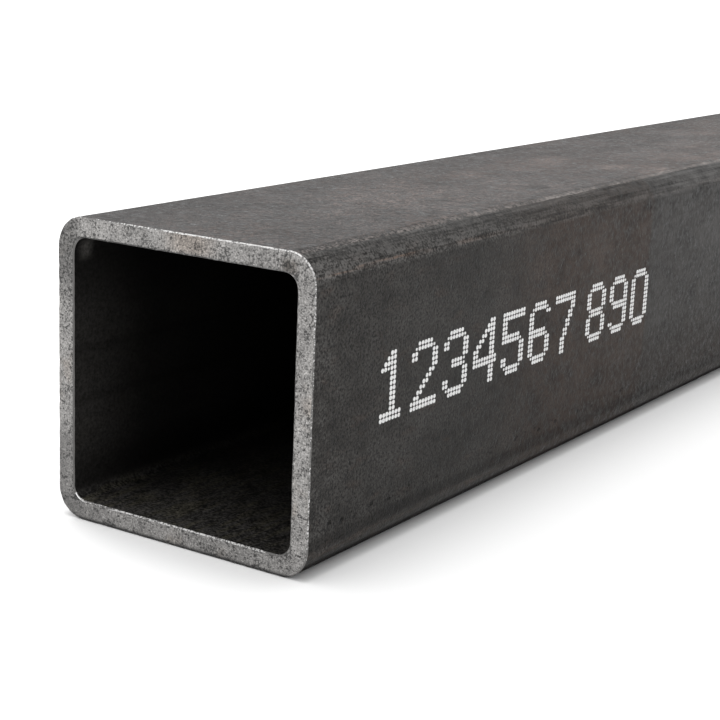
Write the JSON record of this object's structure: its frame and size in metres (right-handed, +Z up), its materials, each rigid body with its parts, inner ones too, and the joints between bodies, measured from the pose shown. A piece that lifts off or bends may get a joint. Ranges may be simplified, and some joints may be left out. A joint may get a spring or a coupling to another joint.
{
  "type": "square metal tube",
  "caption": "Straight cut length of square steel hollow section with rounded corners, open at both sawn ends, for frames, posts and brackets.",
  "frame": {"origin": "on the plane that the tube lies on, under the middle of its length and width", "axes": "+Y runs along the tube away from the end shown in the picture, +X is across it and +Z is up"},
  "size_m": [0.09, 1, 0.09],
  "materials": {
    "mill_steel": "matte"
  },
  "bodies": {
    "root": {"square_tube": "mill_steel"}
  },
  "joints": []
}
